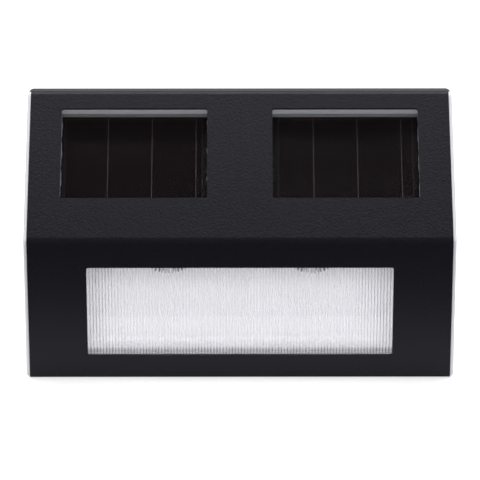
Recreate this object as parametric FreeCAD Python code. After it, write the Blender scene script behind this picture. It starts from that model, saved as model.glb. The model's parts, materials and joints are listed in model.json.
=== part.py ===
import FreeCAD, Part
import math
import os
from FreeCAD import Placement, Rotation, Vector

# Solar fence light: a bent sheet cover over a moulded body, closed by a back cover that hangs on two screws.
# Millimetres. +X is the viewer's right, -Y the front, +Z up. The back mounting face is the plane y = 0,
# and the origin lies midway between the two places where the hanging screws come to rest.

# ---- overall form ----
body_width = 120.0        # over the two moulded end cheeks
cheek_proud = 1.0         # each cheek stands out this far past the sheet's side edge
front_height = 40.7       # vertical front face, bottom edge to ridge
slope_rise = 32.8         # height of the leaning upper face
slope_deg = 45.0          # lean of the upper face from the vertical
top_flat = 3.7            # level strip along the top, from slope to back edge
hang_height = 52.0        # hanging screws above the bottom edge

# ---- sheet cover ----
sheet_t = 0.8
ridge_bend_r = 3.0        # outer bend radii
top_bend_r = 2.0
lip_bend_r = 1.2
lip_height = 2.2          # rear lip hooked behind the body
lip_end_gap = 1.5
sheet_corner_r = 1.0
tab_width = 4.0           # two tabs folded under the body
tab_length = 7.0
tab_spacing = 78.4
tab_proud = 0.3           # how far a tab stands below the bottom edge
tab_bend_r = 1.1

# ---- windows in the sheet ----
panel_win_w = 41.0
panel_win_h = 27.8
panel_top_margin = 5.3
panel_spacing = 59.3
lens_win_w = 85.3
lens_win_h = 26.2
lens_top_margin = 7.9
window_corner_r = 0.6

# ---- body ----
wall = 2.2
rim_width = 3.2           # rear rim that the gasket lies on
rim_depth = 2.0
cheek_edge_r = 0.7
fit = 0.1                 # clearance round pieces that drop into a seat
over = 1.0                # cutting shapes reach this far past what they cut
tiny = 1e-6               # lengths below this count as nothing
tab_recess_fit = 0.2

# ---- solar panels ----
pocket_spare = 0.3        # pocket wider than its window at each side
panel_recess = 2.4        # body wall seen above the glass
glass_t = 3.0
cell_t = 0.15
backing_t = 0.55
cell_margin_v = 1.0       # bare glass above and below the cells
scribe_w = 0.35
cell_pitch = 12.4
cell_count = 3
first_scribe = {"left": 13.0, "right": 11.6}
cell_start = {"left": 1.1, "right": 1.9}
cell_end_margin = 1.6
tray_wall = 1.4
tray_floor = 1.2
tray_clear = 0.4          # trays stay this far inside the body's rear edge
lead_hole_r = 2.4
lead_hole_x = 15.2        # from the light's middle
lead_hole_s = 26.0        # up the slope from the ridge

# ---- lens and reflector ----
lens_t = 1.2
lens_overlap = 2.0        # lens hidden behind the sheet on every side
rib_pitch = 0.86
rib_height = 0.12
reflector_t = 1.2
chamber_floor_depth = 6.0
chamber_top_depth = 11.0
chamber_round_r = 3.0
chamber_top_gap = 1.4     # ceiling above the top of the lens window
chamber_floor_gap = 0.4   # floor below the bottom of the lens window
flange_w = 2.0
ear_r = 3.2
ear_height = 13.5         # above the bottom of the lens window
ear_boss_r = 2.6
ear_boss_h = 4.0

# ---- lamps ----
led_spacing = 40.0
led_r = 2.5
led_length = 8.6
led_flange_r = 2.9
led_flange_t = 1.0
led_set_back = 7.1        # axis behind the front face
led_tip_drop = 12.0       # tip below the ridge
led_lead_r = 0.25
led_lead_pitch = 2.54
lead_stub = 0.8           # lead left standing above the board
collar_r = 3.9
collar_drop = 10.5        # collar's lower end below the ridge
collar_fit = 0.1
collar_slot = 4.6

# ---- circuit board ----
board_l = 58.0
board_w = 13.0
board_t = 1.2
board_front_gap = 1.5     # from the inner face of the front wall
board_drop = 0.1          # upper face below the ridge
board_post_spacing = 20.0
board_post_r = 2.2
board_post_back = 5.0     # posts behind the board's front edge
chip_l = 5.0
chip_w = 4.0
chip_h = 1.5
chip_x = -15.0
legs_per_side = 4
lead_foot = 0.9
lead_t = 0.2
lead_w = 0.42
lead_pitch = 1.27
coil_r = 3.0
coil_h = 4.6
coil_flange_t = 0.8
coil_waist_r = 1.7
coil_winding_r = 2.6
coil_back = 7.9           # coil's middle, between the trays, behind the board's front edge
cap_r = 2.0
cap_h = 3.6
cap_edge_r = 0.3
cap_x = 15.0
part_back = 6.6           # chip's and capacitor's middles behind the board's front edge

# ---- battery ----
cell_r = 5.25
cell_length = 44.5
sleeve_t = 0.15
cap_button_r = 1.9
cap_button_h = 0.8
cell_back_gap = 1.8
cell_floor_gap = 3.5
contact_t = 0.4
contact_w = 9.0
contact_tab_w = 3.0
contact_tab_h = 4.0
spring_length = 4.0
spring_wire_r = 0.3
spring_r = 2.6
spring_turns = 3
cradle_end_t = 1.6
clip_t = 2.0
clip_spacing = 24.0
clip_wall = 1.5
clip_reach = 1.6          # arms past the battery's middle
cradle_fit = 0.1

# ---- back cover ----
back_t = 2.0
back_corner_r = 1.5
gasket_inset = 1.6
gasket_w = 1.4
boss_r = 2.8
boss_inset = 7.0          # screws inside the two ends
boss_low = 7.0            # lower screws above the bottom edge
boss_high_drop = 12.7     # upper screws below the plate's upper edge
pad_r = 3.0
keyhole_spacing = 60.0
keyhole_r = 4.0           # round entry hole
keyhole_slot_r = 2.1
keyhole_drop = 7.5        # entry hole below the hanging place
pocket_depth = 4.6
pocket_gap = 0.7          # round the screw head
pocket_wall = 1.2
locator_l = 10.0
locator_t = 1.2
locator_h = 1.6
locator_gap = 0.25

# ---- switch ----
switch_drop = 20.0        # below the hanging place
dish_w = 14.0
dish_h = 8.0
dish_depth = 2.4
dish_floor = 1.4
dish_wall = 1.4
dish_corner_r = 1.0
switch_l = 8.6
switch_w = 4.4
switch_h = 3.6
switch_wall = 0.4
switch_base_t = 0.8
switch_travel = 2.0
knob_l = 2.4
knob_w = 2.0
knob_gap = 0.25
knob_tip = 0.6            # knob's end short of the mounting face
knob_edge_r = 0.3
shoe_l = 4.4
shoe_w = 3.0
shoe_t = 1.2
shoe_gap = 0.2
clip_contact_t = 0.7
clip_contact_w = 1.5
terminal_pitch = 2.5
terminal_w = 0.9
terminal_t = 0.4
terminal_l = 3.4
rail_t = 1.2

# ---- screws: head radius, head height, shank radius, shank length ----
back_screw = (2.1, 1.3, 1.1, 8.0)
small_screw = (1.7, 1.0, 0.9, 4.9)
screw_fit = 0.05
hole_spare = 0.5          # hole past the screw's point
screw_point = 1.2         # length of the point, in shank radii
recess_l = 1.3            # cross recess: length and width in head radii, depth in head heights
recess_w = 0.3
recess_depth = 0.55
head_round = 0.45         # rounding of the head's rim, in head heights
counterbore_depth = 1.5

# ---- wires ----
wire_r = 0.5
solder_r = 1.0
wire_on_board = 2.2       # wire end inside the board's rear edge
wire_pitch = 3.0
wire_tab_drop = 2.4       # battery wires start this far below the tabs' ends
wire_rise = 5.6           # battery wires bend forward this far above the tabs
wire_forward = 2.4        # and stand this far in front of the battery's axis there
wire_front_run = 6.2      # middle stretch in front of the battery's axis
wire_middle_x = 13.5
wire_loop = 5.6           # loop in front of the switch terminals
wire_out = 5.4            # panel wires run this far out of the tray before they bend
wire_behind_board = 3.4   # panel wires come down this far behind the board
black_end_x = -4.6

# ---- places that follow from the sizes above ----
lean = math.radians(slope_deg)
slope_run = slope_rise * math.tan(lean)
slope_length = slope_rise / math.cos(lean)
front_y = -(back_t + top_flat + slope_run)
z_bottom = -hang_height
z_ridge = z_bottom + front_height
z_top = z_ridge + slope_rise
body_back = -(back_t + sheet_t)
half_body = body_width / 2
half_sheet = half_body - cheek_proud
boss_x = half_body - boss_inset
ear_x = (lens_win_w / 2 + half_body - wall) / 2
inner_depth = sheet_t + wall
panel_high = slope_length - panel_top_margin
panel_low = panel_high - panel_win_h
pocket_w = panel_win_w + 2 * pocket_spare
glass_depth = sheet_t + panel_recess
cell_depth = glass_depth + glass_t
pocket_floor = cell_depth + backing_t + fit
tray_back = pocket_floor + tray_floor
panel_x = {"left": -panel_spacing / 2, "right": panel_spacing / 2}
lens_high = -lens_top_margin
lens_low = lens_high - lens_win_h
z_lens_low = z_ridge + lens_low
chamber_front = front_y + inner_depth
z_chamber_top = z_ridge + lens_high + chamber_top_gap
z_chamber_floor = z_lens_low - chamber_floor_gap
led_y = front_y + led_set_back
z_led_tip = z_ridge - led_tip_drop
z_led_seat = z_led_tip + led_length - led_flange_t
board_front = chamber_front + board_front_gap
board_rear = board_front + board_w
z_board_top = z_ridge - board_drop
z_board_low = z_board_top - board_t
part_y = board_front + part_back
coil_y = board_front + coil_back
z_wire = z_board_top + wire_r
cell_y = -(back_t + cell_back_gap + cell_r)
cell_z = z_bottom + wall + cell_floor_gap + cell_r
cradle_half = (cell_length + spring_length) / 2 + contact_t
cell_right = cradle_half - contact_t
can_right = cell_right - cap_button_h
can_left = cell_right - cell_length
dish_back = -(dish_depth + dish_floor)
case_back = dish_back - switch_h
shoe_back = dish_back - switch_wall - shoe_gap - shoe_t
z_keyhole = -keyhole_drop
z_switch = -switch_drop
z_plate_top = z_top - sheet_t


# ---- shape helpers ----

def face_frame(origin, lean_degrees):
    """Placement whose local X is +X, local Y runs up the face and local Z points out of it."""
    return Placement(origin, Rotation(Vector(1, 0, 0), 90 - lean_degrees))


RIDGE = Vector(0, front_y, z_ridge)
FRONT = face_frame(RIDGE, 0)
SLOPE = face_frame(RIDGE, slope_deg)
BACK = face_frame(Vector(0, 0, 0), 0)


def rounded_path(points, radii, closed=False):
    """Wire through the points, with a tangent arc of the given radius at each corner."""
    count = len(points)
    corners = []
    for i, point in enumerate(points):
        has_turn = closed or 0 < i < count - 1
        if not has_turn or radii[i] < tiny:
            corners.append((point, None, point))
            continue
        to_last = (points[i - 1] - point).normalize()
        to_next = (points[(i + 1) % count] - point).normalize()
        half = to_last.getAngle(to_next) / 2
        reach = radii[i] / math.tan(half)
        sag = radii[i] / math.sin(half) - radii[i]
        middle = point + (to_last + to_next).normalize() * sag
        corners.append((point + to_last * reach, middle, point + to_next * reach))
    edges = []
    for i, (start, middle, end) in enumerate(corners):
        if middle is not None:
            edges.append(Part.Arc(start, middle, end).toShape())
        follows = corners[(i + 1) % count][0]
        if (closed or i < count - 1) and end.distanceToPoint(follows) > tiny:
            edges.append(Part.LineSegment(end, follows).toShape())
    return Part.Wire(edges)


def prism(section, radii, x0, x1):
    """Solid from a (y, z) section run along X."""
    points = [Vector(x0, y, z) for y, z in section]
    return Part.Face(rounded_path(points, radii, True)).extrude(Vector(x1 - x0, 0, 0))


def plate(frame, x0, x1, v0, v1, depth0, depth1, radius=0.0):
    """Rectangle on a face, rounded at its corners, from one depth below the face to another."""
    corners = [Vector(x, v, -depth1) for x, v in ((x0, v0), (x1, v0), (x1, v1), (x0, v1))]
    solid = Part.Face(rounded_path(corners, [radius] * 4, True)).extrude(Vector(0, 0, depth1 - depth0))
    solid.Placement = frame
    return solid


def block(x0, x1, y0, y1, z0, z1):
    return Part.makeBox(x1 - x0, y1 - y0, z1 - z0, Vector(x0, y0, z0))


def rod(radius, start, end):
    return Part.makeCylinder(radius, (end - start).Length, start, end - start)


def joined(shapes):
    return shapes[0].fuse(shapes[1:]).removeSplitter()


def group(shapes):
    return Part.makeCompound(shapes)


def offset_profile(points, distance):
    """Open (y, z) line moved to its inner side by the distance, with mitred corners."""
    normals = []
    for (y0, z0), (y1, z1) in zip(points, points[1:]):
        length = math.hypot(y1 - y0, z1 - z0)
        normals.append(((z1 - z0) / length, (y0 - y1) / length))
    moved = []
    for i, (y, z) in enumerate(points):
        before = normals[max(i - 1, 0)]
        after = normals[min(i, len(normals) - 1)]
        share = distance / (1 + before[0] * after[0] + before[1] * after[1])
        moved.append((y + (before[0] + after[0]) * share, z + (before[1] + after[1]) * share))
    return moved


def body_section(depth, floor, back):
    """Closed side profile that lies the given depth under the sheet's outer face."""
    outer = [(front_y, z_bottom), (front_y, z_ridge), (front_y + slope_run, z_top), (body_back, z_top)]
    line = offset_profile(outer, depth)
    section = [(line[0][0], floor), line[1], line[2], (back, line[3][1]), (back, floor)]
    radii = [0] + [max(r - depth, 0) for r in (ridge_bend_r, top_bend_r, lip_bend_r)] + [0]
    return section, radii


def screw(seat, direction, sizes):
    """Self-tapping screw: pan head with a cross recess above the seat, pointed shank below it."""
    head_r, head_h, shank_r, length = sizes
    point_h = shank_r * screw_point
    head = Part.makeCylinder(head_r, head_h)
    head = head.makeFillet(head_h * head_round, [head.Edges[0]])
    corner = Vector(-head_r * recess_l / 2, -head_r * recess_w / 2, head_h * (1 - recess_depth))
    for turn in (0, 90):
        slot = Part.makeBox(head_r * recess_l, head_r * recess_w, head_h, corner)
        slot.rotate(Vector(0, 0, 0), Vector(0, 0, 1), turn)
        head = head.cut(slot)
    shank = Part.makeCylinder(shank_r, length - point_h, Vector(0, 0, point_h - length))
    point = Part.makeCone(shank_r * 0.3, shank_r, point_h, Vector(0, 0, -length))
    solid = joined([head, shank, point])
    solid.Placement = Placement(seat, Rotation(Vector(0, 0, 1), direction))
    return solid


def tube(points, radius):
    """Round wire along straight runs joined by tangent arcs; prints its bend radii."""
    radii = [0.0]
    for last, point, following in zip(points, points[1:], points[2:]):
        turn = (point - last).getAngle(following - point)
        shorter = min((point - last).Length, (following - point).Length)
        radii.append(0.45 * shorter / math.tan(turn / 2))
    radii.append(0.0)
    print("wire bend radii", [round(r, 1) for r in radii[1:-1]])
    path = rounded_path(points, radii)
    section = Part.Wire(Part.makeCircle(radius, points[0], points[1] - points[0]))
    return path.makePipeShell([section], True, False)


# ---- cover ----

def cover_sheet():
    """One bent sheet: front, slope, level top and rear lip, with two folded tabs at the bottom."""
    outer = [(front_y, z_bottom), (front_y, z_ridge), (front_y + slope_run, z_top), (-back_t, z_top),
             (-back_t, z_top - lip_height)]
    inner = offset_profile(outer, sheet_t)
    bends = [0, ridge_bend_r, top_bend_r, lip_bend_r, 0]
    inner_bends = [max(r - sheet_t, 0) for r in bends]
    sheet = prism(outer + inner[::-1], bends + inner_bends[::-1], -half_sheet, half_sheet)
    for side in (-1, 1):
        x0, x1 = sorted((side * (half_sheet - lip_end_gap), side * (half_sheet + over)))
        sheet = sheet.cut(block(x0, x1, body_back - fit, 0, z_top - lip_height - over, z_top - sheet_t))
    for name in panel_x:
        window = panel_plate(name, panel_win_w, panel_low, panel_high, -over, inner_depth, window_corner_r)
        sheet = sheet.cut(window)
    sheet = sheet.cut(lens_plate(lens_win_w, 0, -over, inner_depth, window_corner_r))
    sheet = sheet.common(sheet_outline_from_above())
    return joined([sheet] + [folded_tab(side * tab_spacing / 2) for side in (-1, 1)])


def sheet_outline_from_above():
    """Column over the cover's plan, with its two rear corners rounded."""
    front = front_y - over
    corners = [Vector(-half_sheet, front, z_bottom), Vector(half_sheet, front, z_bottom),
               Vector(half_sheet, -back_t, z_bottom), Vector(-half_sheet, -back_t, z_bottom)]
    outline = rounded_path(corners, [0, 0, sheet_corner_r, sheet_corner_r], True)
    return Part.Face(outline).extrude(Vector(0, 0, z_top - z_bottom))


def folded_tab(x):
    low = z_bottom - tab_proud
    high = z_bottom + 2 * sheet_t
    rear = front_y + tab_length
    section = [(front_y, high), (front_y, low), (rear, low), (rear, low + sheet_t),
               (front_y + sheet_t, low + sheet_t), (front_y + sheet_t, high)]
    radii = [0, tab_bend_r, 0, 0, tab_bend_r - sheet_t, 0]
    return prism(section, radii, x - tab_width / 2, x + tab_width / 2)


def panel_plate(name, width, low, high, depth0, depth1, radius=0.0):
    """Rectangle on the slope, centred on the named panel."""
    centre = panel_x[name]
    return plate(SLOPE, centre - width / 2, centre + width / 2, low, high, depth0, depth1, radius)


def lens_plate(width, grow, depth0, depth1, radius=0.0):
    """Rectangle on the front face, centred on the lens window and grown above and below it."""
    return plate(FRONT, -width / 2, width / 2, lens_low - grow, lens_high + grow, depth0, depth1, radius)


# ---- body ----

def body_shell():
    """White moulded body, open at the back: walls, end cheeks, panel trays, lens seat and bosses."""
    outer, radii = body_section(sheet_t, z_bottom, body_back)
    solid = prism(outer, radii, -half_body, half_body)
    cheek_edges = []
    for edge in solid.Edges:
        if edge.BoundBox.XLength < tiny and edge.BoundBox.YMin < body_back - fit:
            cheek_edges.append(edge)
    solid = solid.makeFillet(cheek_edge_r, cheek_edges)
    cavity, radii = body_section(inner_depth, z_bottom + wall, 0)
    hollow = prism(cavity, radii, wall - half_body, half_body - wall)
    shell = solid.cut(hollow)
    inside = [rear_rim()] + [panel_tray(name) for name in panel_x] + body_bosses()
    shell = joined([shell] + [piece.common(solid) for piece in inside])
    for name in panel_x:
        shell = shell.cut(panel_pocket(name))
    shell = shell.cut(lens_seat())
    for x, z in boss_places():
        shell = shell.cut(rod(back_screw[2] + screw_fit, Vector(x, 0, z), Vector(x, boss_hole_end(z), z)))
    for side in (-1, 1):
        shell = shell.cut(ear_hole(side))
        shell = shell.cut(tab_recess(side * tab_spacing / 2))
    return shell.removeSplitter()


def rear_rim():
    """Ledge round the open back that the gasket lies on."""
    outer = plate(BACK, -half_body, half_body, z_bottom, z_plate_top, body_back - rim_depth, body_back)
    opening = plate(BACK, rim_width - half_body, half_body - rim_width, z_bottom + rim_width,
                    z_plate_top - rim_width, front_y, 0)
    return outer.cut(opening)


def panel_tray(name):
    width = pocket_w + 2 * tray_wall
    tray = panel_plate(name, width, panel_low - tray_wall, panel_high + tray_wall, sheet_t, tray_back)
    behind = block(-half_body, half_body, body_back - tray_clear, 0, z_bottom, z_top)
    return tray.cut(behind)


def panel_pocket(name):
    """Space for the glass, cells and backing, with a hole for the leads in its floor."""
    pocket = panel_plate(name, pocket_w, panel_low, panel_high, 0, pocket_floor)
    x = math.copysign(lead_hole_x, panel_x[name])
    above = on_slope(x, lead_hole_s, glass_depth)
    below = on_slope(x, lead_hole_s, tray_back + over)
    return pocket.fuse(rod(lead_hole_r, above, below))


def on_slope(x, along, depth):
    """Point a given way up the slope and a given depth under the sheet's outer face."""
    return SLOPE.multVec(Vector(x, along, -depth))


def lens_seat():
    """Rebate that the lens drops into from the front, and the opening behind it."""
    grow = lens_overlap + fit
    rebate = lens_plate(lens_win_w + 2 * grow, grow, 0, sheet_t + lens_t + fit)
    return rebate.fuse(lens_plate(lens_win_w, 0, 0, inner_depth + over))


def boss_places():
    heights = (z_bottom + boss_low, z_plate_top - boss_high_drop)
    return [(side * boss_x, z) for side in (-1, 1) for z in heights]


def slope_inner_y(z):
    """Y of the inner face of the front or leaning wall at a height."""
    leaning = front_y + inner_depth / math.cos(lean) + (z - z_ridge) * math.tan(lean)
    return max(chamber_front, leaning)


def boss_hole_end(z):
    """Bottom of a screw hole: just past the screw's point, and never through the front wall."""
    tip = -(counterbore_depth + back_screw[3])
    return max(tip - hole_spare, slope_inner_y(z) - wall / 2)


def body_bosses():
    bosses = [rod(boss_r, Vector(x, front_y, z), Vector(x, body_back, z)) for x, z in boss_places()]
    bosses += [rod(ear_boss_r, ear_boss_root(side), ear_seat(side)) for side in (-1, 1)]
    return bosses


def ear_hole(side):
    return rod(small_screw[2] + screw_fit, ear_seat(side), ear_boss_root(side))


def ear_seat(side):
    """Where the reflector's ear meets its boss."""
    return Vector(side * ear_x, chamber_front + ear_boss_h, z_lens_low + ear_height)


def ear_boss_root(side):
    """Where that boss starts, half way into the front wall."""
    return ear_seat(side) - Vector(0, ear_boss_h + wall / 2, 0)


def tab_recess(x):
    half = tab_width / 2 + tab_recess_fit
    depth = tab_bend_r - tab_proud + fit
    rear = front_y + tab_length + tab_recess_fit
    return block(x - half, x + half, front_y, rear, z_bottom - over, z_bottom + depth)


# ---- solar panels ----

def cell_strips(name):
    """Cells side by side on the back of the glass, parted by scribed lines."""
    left = panel_x[name] - panel_win_w / 2
    edges = [left + cell_start[name]]
    edges += [left + first_scribe[name] + i * cell_pitch for i in range(cell_count)]
    edges.append(left + panel_win_w - cell_end_margin)
    low = panel_low + cell_margin_v
    high = panel_high - cell_margin_v
    strips = []
    for start, end in zip(edges, edges[1:]):
        first = start if start == edges[0] else start + scribe_w / 2
        last = end if end == edges[-1] else end - scribe_w / 2
        strips.append(plate(SLOPE, first, last, low, high, cell_depth, cell_depth + cell_t))
    return strips


def panel_piece(name, depth0, depth1):
    width = pocket_w - 2 * fit
    return panel_plate(name, width, panel_low + fit, panel_high - fit, depth0, depth1)


def solar_glass(name):
    return panel_piece(name, glass_depth, cell_depth)


def solar_backing(name):
    """Black resin coat that holds the cells against the glass."""
    coat = panel_piece(name, cell_depth, cell_depth + backing_t)
    return coat.cut(group(cell_strips(name)))


# ---- lens and reflector ----

def lens():
    """Clear plate with half-round upright ribs on its back, inside the window."""
    half = lens_win_w / 2 + lens_overlap
    front = front_y + sheet_t
    back = front + lens_t
    ribbed = lens_win_w - 2 * fit
    count = int(ribbed / rib_pitch)
    start = -count * rib_pitch / 2
    low = z_lens_low + fit
    foot = [Vector(start, back, low), Vector(start, back - lens_t / 2, low),
            Vector(-start, back - lens_t / 2, low), Vector(-start, back, low)]
    edges = [Part.LineSegment(a, b).toShape() for a, b in zip(foot, foot[1:])]
    for i in range(count):
        x = -start - i * rib_pitch
        top = Vector(x - rib_pitch / 2, back + rib_height, low)
        edges.append(Part.Arc(Vector(x, back, low), top, Vector(x - rib_pitch, back, low)).toShape())
    ribs = Part.Face(Part.Wire(edges)).extrude(Vector(0, 0, lens_win_h - 2 * fit))
    slab = block(-half, half, front, back, z_lens_low - lens_overlap, z_ridge + lens_high + lens_overlap)
    return slab.fuse(ribs).removeSplitter()


def chamber_section(grow):
    """Side profile of the light chamber, grown outwards by a wall."""
    lean_out = (chamber_top_depth - chamber_floor_depth) / (z_chamber_top - z_chamber_floor)
    back_grow = grow * math.hypot(1, lean_out)
    low = z_chamber_floor - grow
    high = z_chamber_top + grow
    low_y = chamber_front + chamber_floor_depth + back_grow - lean_out * grow
    high_y = chamber_front + chamber_top_depth + back_grow + lean_out * grow
    return [(chamber_front, low), (low_y, low), (high_y, high), (chamber_front, high)]


def chamber(half, grow, floor_r):
    """The chamber's solid, between two side walls."""
    return prism(chamber_section(grow), [0, floor_r, 0, 0], -half, half)


def reflector():
    """White box behind the lens, with collars for the lamps, posts for the board and two ears."""
    half = lens_win_w / 2 + fit
    reach = reflector_t + flange_w
    outer = chamber(half + reflector_t, reflector_t, chamber_round_r + reflector_t)
    flange = block(-half - reach, half + reach, chamber_front, chamber_front + reflector_t,
                   z_chamber_floor - reach, z_chamber_top + reach)
    ears = [reflector_ear(side, half) for side in (-1, 1)]
    posts = [rod(board_post_r, Vector(x, y, z_chamber_top + reflector_t / 2), Vector(x, y, z_board_low))
             for x, y in post_places()]
    box = joined([outer, flange] + ears + posts).cut(chamber(half, 0, chamber_round_r))
    box = joined([box] + [lamp_collar(x) for x in led_places()])
    hole_r = small_screw[2] + screw_fit
    for x in led_places():
        box = box.cut(rod(led_r + collar_fit, Vector(x, led_y, z_led_tip), Vector(x, led_y, z_ridge)))
        box = box.cut(block(x - collar_slot / 2, x + collar_slot / 2, chamber_front, led_y,
                            z_led_tip, z_chamber_top))
    for x, y in post_places():
        box = box.cut(rod(hole_r, Vector(x, y, z_board_low), Vector(x, y, z_chamber_top + reflector_t)))
    for side in (-1, 1):
        seat = ear_seat(side)
        box = box.cut(rod(hole_r, seat, seat + Vector(0, reflector_t, 0)))
        box = box.cut(rod(ear_boss_r + fit, ear_boss_root(side), seat))
    return box


def reflector_ear(side, inner_end):
    """Tongue from the chamber's side wall to a round end over its boss."""
    seat = ear_seat(side)
    back = seat + Vector(0, reflector_t, 0)
    x0, x1 = sorted((side * inner_end, seat.x))
    tongue = block(x0, x1, seat.y, back.y, seat.z - ear_r, seat.z + ear_r)
    return joined([tongue, rod(ear_r, seat, back)])


def lamp_collar(x):
    return rod(collar_r, Vector(x, led_y, z_ridge - collar_drop), Vector(x, led_y, z_led_seat))


# ---- lamps and circuit board ----

def led_places():
    return [-led_spacing / 2, led_spacing / 2]


def led(x):
    """Round-nosed lamp pointing down, with its rim on the collar."""
    centre = Vector(x, led_y, z_led_tip + led_r)
    top = Vector(x, led_y, z_led_tip + led_length)
    barrel = rod(led_r, centre, top)
    rim = rod(led_flange_r, Vector(x, led_y, z_led_seat), top)
    return joined([barrel, Part.makeSphere(led_r, centre), rim])


def led_lead_places():
    return [(x + side * led_lead_pitch / 2, led_y) for x in led_places() for side in (-1, 1)]


def led_leads():
    low = z_led_tip + led_length
    high = z_board_top + lead_stub
    return group([rod(led_lead_r, Vector(x, y, low), Vector(x, y, high)) for x, y in led_lead_places()])


def post_places():
    return [(side * board_post_spacing / 2, board_front + board_post_back) for side in (-1, 1)]


def circuit_board():
    board = block(-board_l / 2, board_l / 2, board_front, board_rear, z_board_low, z_board_top)
    holes = [(x, y, led_lead_r) for x, y in led_lead_places()]
    holes += [(x, y, small_screw[2] + screw_fit) for x, y in post_places()]
    for x, y, radius in holes:
        board = board.cut(rod(radius, Vector(x, y, z_board_low), Vector(x, y, z_board_top)))
    return board


def control_chip():
    x0 = chip_x - chip_l / 2
    y0 = part_y - chip_w / 2
    return block(x0, x0 + chip_l, y0, y0 + chip_w, z_board_top + lead_t, z_board_top + chip_h)


def chip_leads():
    """Eight bent legs, four on each long side of the chip."""
    middle = z_board_top + chip_h / 2
    legs = []
    for side in (-1, 1):
        edge = part_y + side * chip_w / 2
        knee = edge + side * lead_foot / 2
        toe = edge + side * lead_foot
        inner_knee = knee - side * lead_t
        section = [(edge, middle), (knee, middle), (knee, z_board_top + lead_t), (toe, z_board_top + lead_t),
                   (toe, z_board_top), (inner_knee, z_board_top), (inner_knee, middle - lead_t),
                   (edge, middle - lead_t)]
        for i in range(legs_per_side):
            x = chip_x + (i - (legs_per_side - 1) / 2) * lead_pitch
            legs.append(prism(section, [0] * len(section), x - lead_w / 2, x + lead_w / 2))
    return group(legs)


def coil_core():
    base = Vector(0, coil_y, z_board_top)
    up = Vector(0, 0, 1)
    low = rod(coil_r, base, base + up * coil_flange_t)
    waist = rod(coil_waist_r, base, base + up * coil_h)
    high = rod(coil_r, base + up * (coil_h - coil_flange_t), base + up * coil_h)
    return joined([low, waist, high])


def coil_winding():
    low = Vector(0, coil_y, z_board_top + coil_flange_t)
    high = Vector(0, coil_y, z_board_top + coil_h - coil_flange_t)
    return rod(coil_winding_r, low, high).cut(rod(coil_waist_r, low, high))


def capacitor():
    low = Vector(cap_x, part_y, z_board_top)
    can = rod(cap_r, low, low + Vector(0, 0, cap_h))
    return can.makeFillet(cap_edge_r, [can.Edges[0]])


# ---- battery ----

def along_x(radius, x0, x1):
    """Cylinder on the battery's axis."""
    return rod(radius, Vector(x0, cell_y, cell_z), Vector(x1, cell_y, cell_z))


def battery_can():
    return along_x(cell_r - sleeve_t, can_left, can_right)


def battery_sleeve():
    return along_x(cell_r, can_left, can_right).cut(along_x(cell_r - sleeve_t, can_left, can_right))


def battery_cap():
    return along_x(cap_button_r, can_right, cell_right)


def contact(side):
    """Spring-steel plate against a cradle end, with a solder tab above it."""
    x0, x1 = sorted((side * cradle_half, side * (cradle_half - contact_t)))
    half = contact_w / 2
    face = block(x0, x1, cell_y - half, cell_y + half, cell_z - half, cell_z + half)
    tab_half = contact_tab_w / 2
    tab = block(x0, x1, cell_y - tab_half, cell_y + tab_half, cell_z + half, cell_z + half + contact_tab_h)
    return joined([face, tab])


def contact_spring():
    """Coil between the negative plate and the can, in quarter-turn arcs; prints its least gap."""
    x0 = contact_t - cradle_half + spring_wire_r
    x1 = can_left - spring_wire_r
    quarters = 4 * spring_turns
    place = [spring_point(x0, x1, i / (2 * quarters)) for i in range(2 * quarters + 1)]
    arcs = [Part.Arc(place[i], place[i + 1], place[i + 2]).toShape() for i in range(0, 2 * quarters, 2)]
    path = Part.Wire(arcs)
    section = Part.Wire(Part.makeCircle(spring_wire_r, place[0], place[1] - place[0]))
    print("spring gap", round((x1 - x0) / spring_turns - 2 * spring_wire_r, 2))
    return path.makePipeShell([section], True, False)


def spring_point(x0, x1, share):
    turn = 2 * math.pi * spring_turns * share
    y = cell_y + spring_r * math.cos(turn)
    z = cell_z + spring_r * math.sin(turn)
    return Vector(x0 + (x1 - x0) * share, y, z)


# ---- back cover ----

def back_cover():
    """Flat rear plate with keyholes, screw pads, battery cradle, switch dish and locating ribs."""
    cover = plate(BACK, -half_body, half_body, z_bottom, z_plate_top, -back_t, 0, back_corner_r)
    pieces = [cover, dish_shell()] + keyhole_boxes() + cradle_walls() + switch_rails() + locators()
    pieces += [rod(pad_r, Vector(x, -back_t, z), Vector(x, body_back, z)) for x, z in boss_places()]
    cover = joined(pieces)
    for x in keyhole_places():
        cover = cover.cut(keyhole_cut(x))
    cover = cover.cut(dish_cut())
    for x, z in boss_places():
        cover = cover.cut(rod(back_screw[2] + screw_fit, Vector(x, body_back, z), Vector(x, 0, z)))
        cover = cover.cut(rod(back_screw[0] + fit, Vector(x, -counterbore_depth, z), Vector(x, 0, z)))
    return cover.removeSplitter()


def keyhole_places():
    return [-keyhole_spacing / 2, keyhole_spacing / 2]


def keyhole_boxes():
    """Closed pockets inside the plate that keep water out round the screw heads."""
    half = keyhole_r + pocket_gap + pocket_wall
    high = keyhole_slot_r * 2 + pocket_wall
    low = z_keyhole - half
    depth = -back_t - pocket_depth - pocket_wall
    return [block(x - half, x + half, depth, -back_t, low, high) for x in keyhole_places()]


def keyhole_cut(x):
    half = keyhole_r + pocket_gap
    room = block(x - half, x + half, -back_t - pocket_depth, -back_t, z_keyhole - half, keyhole_slot_r * 2)
    entry = rod(keyhole_r, Vector(x, -back_t - over, z_keyhole), Vector(x, 0, z_keyhole))
    slot = block(x - keyhole_slot_r, x + keyhole_slot_r, -back_t - over, 0, z_keyhole, 0)
    rest = rod(keyhole_slot_r, Vector(x, -back_t - over, 0), Vector(x, 0, 0))
    return room.fuse([entry, slot, rest])


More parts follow.
